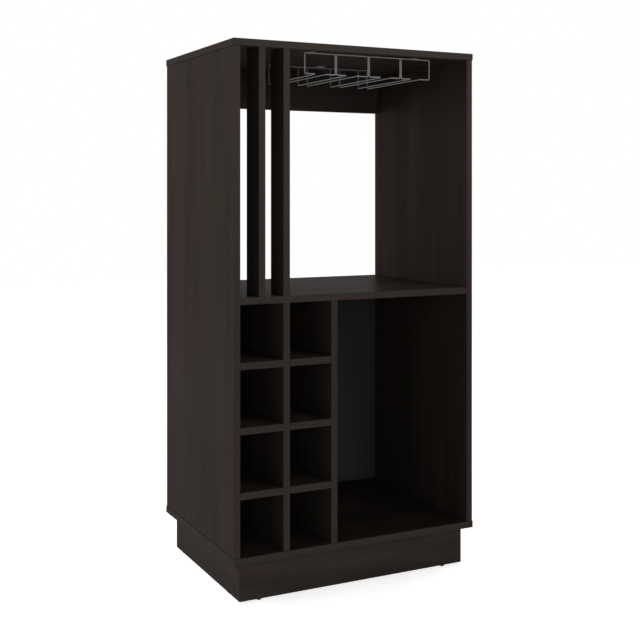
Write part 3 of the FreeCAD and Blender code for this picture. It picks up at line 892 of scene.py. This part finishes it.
def cam_drum(context):
    """Cam with a cross recess and the bore for its bolt, along X."""
    drum = lathe([(0, 0), (7.1, 0), (7.5, -0.4), (7.5, -12.1), (7.1, -12.5), (0, -12.5)])
    bore = prism(circle(3.5, 24), [(-9.0, 1.0), (9.0, 1.0)])
    laid = Matrix.Translation((0, 0, -7.5)) @ Matrix.Rotation(math.pi / 2, 4, "Y")
    bmesh.ops.transform(bore, matrix=laid, verts=bore.verts)
    return carved(context, "cam_drum", drum, [cross_cutter(4.2, 0.8, 2.4), bore])


def screw_cap():
    """Thin cap with a soft rim."""
    profile = [(0, 0), (4.0, -0.02), (5.2, -0.10), (5.75, -0.30), (6.0, -0.65), (6.0, -1.6), (0, -1.6)]
    return as_mesh(lathe(profile, 40), "screw_cap")


def flat_nail():
    """Thin nail with a flat, slightly domed head."""
    profile = [(0, 0), (0.9, -0.03), (1.5, -0.14), (1.75, -0.40), (1.75, -0.8), (0.75, -0.8),
               (0.75, -18.0), (0, -20.0)]
    return as_mesh(lathe(profile, 16), "flat_nail")


def glide_nail():
    """Nail of a glide."""
    profile = [(0, 0), (1.1, -0.04), (1.75, -0.18), (2.0, -0.45), (2.0, -0.8), (1.0, -0.8),
               (1.0, -14.0), (0, -16.0)]
    return as_mesh(lathe(profile, 16), "glide_nail")


def glide_foot():
    """Ring-shaped glide with a rounded rim at the floor, a sunk seat for its nail and a bore."""
    profile = [(2.1, -0.2), (2.3, 0.0), (3.9, 0.0), (4.5, -0.35), (5.3, -1.2), (5.8, -1.9), (6.0, -2.5),
               (6.0, -3.8), (5.8, -4.0), (1.1, -4.0), (1.1, -1.8), (2.1, -1.8)]
    return as_mesh(lathe(profile, 40, ring=True), "glide_foot")


def fluted_dowel(fixings):
    """Dowel with bevelled ends and flutes for the glue."""
    profile = [(0, 0), (3.2, 0), (4.0, -1.0), (4.0, -29.0), (3.2, -30.0), (0, -30.0)]
    ripple = flute_ripple(FLUTES, fixings.flute_depth / MM)
    return as_mesh(lathe(profile, FLUTES * 4, ripple), "fluted_dowel")


def rack_tab(context, size, rounding, hole, setback):
    """Flat tab with rounded corners, eased rims and a screw hole; Y points away from the bar."""
    half_x, half_y = size.x / 2 / MM - rounding, size.y / 2 / MM - rounding
    outline = []
    for quarter, (side, end) in enumerate(((1, 1), (-1, 1), (-1, -1), (1, -1))):
        outline += circle(rounding, 7, (side * half_x, end * half_y), quarter * math.pi / 2, math.pi / 2)
    thickness = size.z / MM
    plate = prism(outline, [(-thickness, TAB_EASE_SCALE), (TAB_EASE - thickness, 1.0), (-TAB_EASE, 1.0),
                            (0.0, TAB_EASE_SCALE)])
    drill = prism(circle(hole, 24, (0.0, setback)), [(-thickness - 1.0, 1.0), (1.0, 1.0)])
    return carved(context, "rack_tab", plate, [drill])


# Operators

class CABINET_OT_face_boards(bpy.types.Operator):
    """Face every board with wood grain and paint the hardboard back"""
    bl_idname = "cabinet.face_boards"
    bl_label = "Face Boards"

    def execute(self, context):
        finish = context.scene.cabinet_boards
        for number, node in enumerate(nodes_in_slot("dark_board")):
            paint([node], board_material(node, number, finish))
        paint(nodes_in_slot("hardboard"), hardboard_material(finish))
        return {"FINISHED"}


class CABINET_OT_bend_rack(bpy.types.Operator):
    """Bend the frame wire and the six stem wires of the rack"""
    bl_idname = "cabinet.bend_rack"
    bl_label = "Bend Rack"

    def execute(self, context):
        rack = context.scene.cabinet_rack
        tree = shared_group("Bent wire", build_bent_wire)
        inputs = {"Wire Radius": rack.wire_radius, "Bend Radius": rack.bend_radius,
                  "Bend Steps": rack.bend_steps, "Wire Steps": rack.wire_steps,
                  "Finish": wire_material(rack)}
        for node in nodes_in_slot("rack_wire"):
            if "wire" in node:
                closed = "frame" in node
                corners = (frame_path if closed else stem_path)(node, rack.wire_radius)
                name = "bent_" + node.removeprefix("rack_")
                wire = grow(context, name, path_mesh(name, corners, closed), tree, inputs)
                mount(wire, slot_of(node), node)
        return {"FINISHED"}


class CABINET_OT_weld_rack(bpy.types.Operator):
    """Weld the stem wires to the bars and the mounting tabs onto them"""
    bl_idname = "cabinet.weld_rack"
    bl_label = "Weld Rack"

    def execute(self, context):
        rack = context.scene.cabinet_rack
        node = "rack_mounting_tabs"
        low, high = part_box("rack_frame_wire")
        middle = (low + high) / 2
        radius = rack.wire_radius
        places, turns, welds = [], [], []
        for solid in solid_corners(node):
            tab_low, tab_high = box_of(solid)
            size = tab_high - tab_low
            centre = (tab_low + tab_high) / 2
            inward = 1 if centre.y < middle.y else -1
            places.append((Vector((centre.x, centre.y, tab_high.z)), unit_axis(2)))
            turns.append(0.0 if inward > 0 else math.pi)
            bar = centre.y - inward * (size.y / 2 - radius)
            for side in (-1, 1):
                welds.append((centre.x + side * size.x * WELD_PLACE, bar + inward * radius,
                              tab_low.z - radius * WELD_SINK))
        hole, setback = PAN_SHANK_RADIUS + HOLE_PLAY, radius / MM
        template = rack_tab(context, size, rack.tab_rounding / MM, hole, setback)
        seat(context, "rack_tabs", node, places, template, wire_material(rack), turns=turns)
        for stem in nodes_in_slot("rack_wire"):
            if "stem" in stem:
                corners = stem_path(stem, radius)
                welds += [corners[0], corners[-1]]
        inputs = {"Bead Size": rack.bead_size, "Unevenness": rack.bead_size * WELD_UNEVENNESS,
                  "Seed": rack.weld_seed, "Finish": wire_material(rack)}
        tree = shared_group("Weld beads", build_weld_beads)
        mount(grow(context, "rack_welds", plain_mesh("rack_welds", welds), tree, inputs), "rack_wire")
        return {"FINISHED"}


class CABINET_OT_drive_screws(bpy.types.Operator):
    """Drive the carcass screws and the small screws of the rack and the brackets"""
    bl_idname = "cabinet.drive_screws"
    bl_label = "Drive Screws"

    def execute(self, context):
        fixings = context.scene.cabinet_fixings
        plated = zinc_material(fixings)
        coated = wire_material(context.scene.cabinet_rack)
        shapes = (("top_screws", carcass_screw, plated), ("bottom_screws", carcass_screw, plated),
                  ("rack_screws", pan_screw, coated), ("plinth_bracket_screws", pan_screw, plated))
        for number, (node, template, finish) in enumerate(shapes):
            seat(context, "driven_" + node, node, head_places(node), template(context, fixings),
                 finish, math.tau, fixings.turn_seed + number)
        return {"FINISHED"}


class CABINET_OT_turn_cams(bpy.types.Operator):
    """Turn the cams onto their bolts"""
    bl_idname = "cabinet.turn_cams"
    bl_label = "Turn Cams"

    def execute(self, context):
        fixings = context.scene.cabinet_fixings
        for node, facing in (("shelf_cams", unit_axis(2, -1)), ("rail_cams", unit_axis(1))):
            seat(context, "turned_" + node, node, head_places(node, facing), cam_drum(context),
                 zinc_material(fixings))
        paint(["shelf_cam_bolts", "rail_cam_bolts"], zinc_material(fixings))
        return {"FINISHED"}


class CABINET_OT_press_caps(bpy.types.Operator):
    """Press the caps over the screws of the top"""
    bl_idname = "cabinet.press_caps"
    bl_label = "Press Caps"

    def execute(self, context):
        fixings = context.scene.cabinet_fixings
        node = "top_screw_caps"
        finish = shared_material("brown_cap", plastic_material, fixings.cap_tone, 0.5)
        seat(context, "pressed_caps", node, head_places(node, unit_axis(2)), screw_cap(), finish)
        return {"FINISHED"}


class CABINET_OT_nail_back(bpy.types.Operator):
    """Nail the thin back panel to the boards"""
    bl_idname = "cabinet.nail_back"
    bl_label = "Nail Back"

    def execute(self, context):
        fixings = context.scene.cabinet_fixings
        node = "back_panel_nails"
        seat(context, "driven_nails", node, head_places(node, unit_axis(1)), flat_nail(),
             zinc_material(fixings))
        return {"FINISHED"}


class CABINET_OT_fit_glides(bpy.types.Operator):
    """Fit the glides under the plinth, each with its nail"""
    bl_idname = "cabinet.fit_glides"
    bl_label = "Fit Glides"

    def execute(self, context):
        fixings = context.scene.cabinet_fixings
        down = unit_axis(2, -1)
        finish = shared_material("glide_plastic", plastic_material, fixings.glide_tone, 0.5)
        seat(context, "floor_glides", "glides", head_places("glides", down), glide_foot(), finish)
        seat(context, "driven_glide_nails", "glide_nails", head_places("glide_nails", down), glide_nail(),
             zinc_material(fixings))
        return {"FINISHED"}


class CABINET_OT_set_dowels(bpy.types.Operator):
    """Set the fluted dowels into the boards"""
    bl_idname = "cabinet.set_dowels"
    bl_label = "Set Dowels"

    def execute(self, context):
        fixings = context.scene.cabinet_fixings
        for node in nodes_in_slot("dowel_wood"):
            low, high = box_of(solid_corners(node)[0])
            axis = longest_axis(high - low)
            finish = shared_material("beech_" + "xyz"[axis], beech_material, axis, fixings)
            seat(context, "set_" + node, node, head_places(node, unit_axis(axis)),
                 fluted_dowel(fixings), finish)
        return {"FINISHED"}


class CABINET_OT_plate_brackets(bpy.types.Operator):
    """Plate the steel brackets inside the plinth"""
    bl_idname = "cabinet.plate_brackets"
    bl_label = "Plate Brackets"

    def execute(self, context):
        paint(["plinth_brackets"], zinc_material(context.scene.cabinet_fixings))
        return {"FINISHED"}


# Lamps: name, power in watts, spread in degrees, width and height, place, and the point aimed at
LAMPS = (
    ("side_lamp", 20.2, 180, (1.2, 0.8), (-2.2, 0.1, 1.9), (-0.3, 0.0, 0.75)),
    ("left_lamp", 2.4, 180, (0.8, 0.8), (-2.6, -1.8, 1.1), (0.0, 0.0, 0.8)),
    ("low_side_lamp", 0.56, 40, (1.6, 0.15), (-2.4, 0.6, 0.10), (-0.25, 0.0, 0.05)),
    ("window_lamp", 50.0, 180, (1.2, 1.2), (-1.6, 2.8, 1.0), (0.1, 0.0, 0.85)),
    ("rear_high_lamp", 8.0, 180, (0.8, 0.8), (0.5, 2.2, 2.0), (0.1, 0.0, 0.66)),
    ("right_lamp", 22.0, 180, (1.0, 1.0), (2.4, 0.2, 1.5), (0.3, 0.0, 0.6)),
    ("top_lamp", 0.8, 40, (0.6, 0.6), (0.0, 0.1, 3.2), (0.0, 0.0, 1.17)),
    ("rear_right_lamp", 3.6, 180, (1.0, 1.0), (2.4, 2.6, 1.2), (0.2, 0.2, 0.7)),
    ("left_front_lamp", 10.6, 180, (1.0, 0.6), (-1.6, -3.0, 1.0), (0.1, 0.0, 0.7)),
    ("far_front_lamp", 19.8, 180, (3.0, 0.8), (-0.6, -4.5, 0.75), (0.0, 0.0, 0.6)),
    ("low_front_lamp", 0.74, 25, (2.0, 0.08), (0.6, -2.6, 0.06), (0.26, -0.2, 0.04)),
    ("brow_lamp", 2.65, 50, (0.8, 0.6), (1.0, -2.0, 1.5), (-0.03, -0.2, 1.13)),
)


class CABINET_OT_set_stage(bpy.types.Operator):
    """Lay the floor, light the cabinet and place the camera"""
    bl_idname = "cabinet.set_stage"
    bl_label = "Set Stage"

    def execute(self, context):
        stage = context.scene.cabinet_stage
        self.lay_floor(context, stage)
        self.light_sky(context, stage)
        for name, power, spread, size, place, target in LAMPS:
            self.hang_lamp(context, name, power * stage.lamp_level, spread, size, place, target)
        self.place_camera(context, stage)
        context.scene.view_settings.view_transform = "Standard"
        return {"FINISHED"}

    def lay_floor(self, context, stage):
        """A wide pale floor under the glides."""
        corners = [(x * FLOOR_HALF, y * FLOOR_HALF, 0) for x, y in ((-1, -1), (1, -1), (1, 1), (-1, 1))]
        mesh = plain_mesh("floor", corners, faces=[(0, 1, 2, 3)])
        mesh.materials.append(floor_material(stage))
        floor = new_object(context, "floor", mesh)

    def light_sky(self, context, stage):
        """Soft even light, which the camera and reflections see as white."""
        world = bpy.data.worlds.new("studio")
        tree = bare_tree(world)
        light, white = (put(tree, "ShaderNodeBackground", {"Strength": level, "Color": (1, 1, 1, 1)})
                        for level in (stage.sky_level, 1.0))
        both = put(tree, "ShaderNodeMixShader", {0: seen_as_white(tree), 1: light, 2: white})
        add(tree, "ShaderNodeOutputWorld", {"Surface": both})
        context.scene.world = world

    def hang_lamp(self, context, name, power, spread, size, place, target):
        """A soft rectangular lamp aimed at a point and kept out of reflections, which stay white."""
        lamp = bpy.data.lights.new(name, "AREA")
        lamp.shape = "RECTANGLE"
        lamp.size, lamp.size_y = size
        lamp.energy = power
        lamp.spread = math.radians(spread)
        item = new_object(context, name, lamp)
        item.visible_glossy = False
        item.location = place
        item.rotation_euler = (Vector(target) - Vector(place)).to_track_quat("-Z", "Y").to_euler()

    def place_camera(self, context, stage):
        """A level camera with its lens shifted down."""
        view = bpy.data.cameras.new("camera")
        view.lens = stage.lens
        view.shift_y = -stage.lens_drop
        camera = new_object(context, "camera", view)
        camera.location = stage.eye
        camera.rotation_euler = (math.pi / 2, 0.0, -stage.heading)
        context.scene.camera = camera


GROUPS = (("cabinet_boards", BoardFinish), ("cabinet_rack", RackFinish),
          ("cabinet_fixings", FixingFinish), ("cabinet_stage", StageSet))
OPERATORS = (CABINET_OT_face_boards, CABINET_OT_bend_rack, CABINET_OT_weld_rack, CABINET_OT_drive_screws,
             CABINET_OT_turn_cams, CABINET_OT_press_caps, CABINET_OT_nail_back, CABINET_OT_fit_glides,
             CABINET_OT_set_dowels, CABINET_OT_plate_brackets, CABINET_OT_set_stage)


class CABINET_PT_dressing(bpy.types.Panel):
    """Sizes, colours and steps of the dressing"""
    bl_label = "Bar Cabinet"
    bl_space_type = "VIEW_3D"
    bl_region_type = "UI"
    bl_category = "Bar Cabinet"

    def draw(self, context):
        for operator in OPERATORS:
            self.layout.operator(operator.bl_idname)
        for name, group in GROUPS:
            box = self.layout.box()
            box.label(text=group.bl_rna.description)
            for setting in group.__annotations__:
                box.prop(getattr(context.scene, name), setting)


def register():
    for name, group in GROUPS:
        bpy.utils.register_class(group)
        setattr(bpy.types.Scene, name, PointerProperty(type=group))
    for operator in OPERATORS:
        bpy.utils.register_class(operator)
    bpy.utils.register_class(CABINET_PT_dressing)


def unregister():
    bpy.utils.unregister_class(CABINET_PT_dressing)
    for operator in reversed(OPERATORS):
        bpy.utils.unregister_class(operator)
    for name, group in reversed(GROUPS):
        delattr(bpy.types.Scene, name)
        bpy.utils.unregister_class(group)


def main():
    """Runs every step in order."""
    register()
    bpy.ops.cabinet.face_boards()
    bpy.ops.cabinet.bend_rack()
    bpy.ops.cabinet.weld_rack()
    bpy.ops.cabinet.drive_screws()
    bpy.ops.cabinet.turn_cams()
    bpy.ops.cabinet.press_caps()
    bpy.ops.cabinet.nail_back()
    bpy.ops.cabinet.fit_glides()
    bpy.ops.cabinet.set_dowels()
    bpy.ops.cabinet.plate_brackets()
    bpy.ops.cabinet.set_stage()


if __name__ == "__main__":
    main()
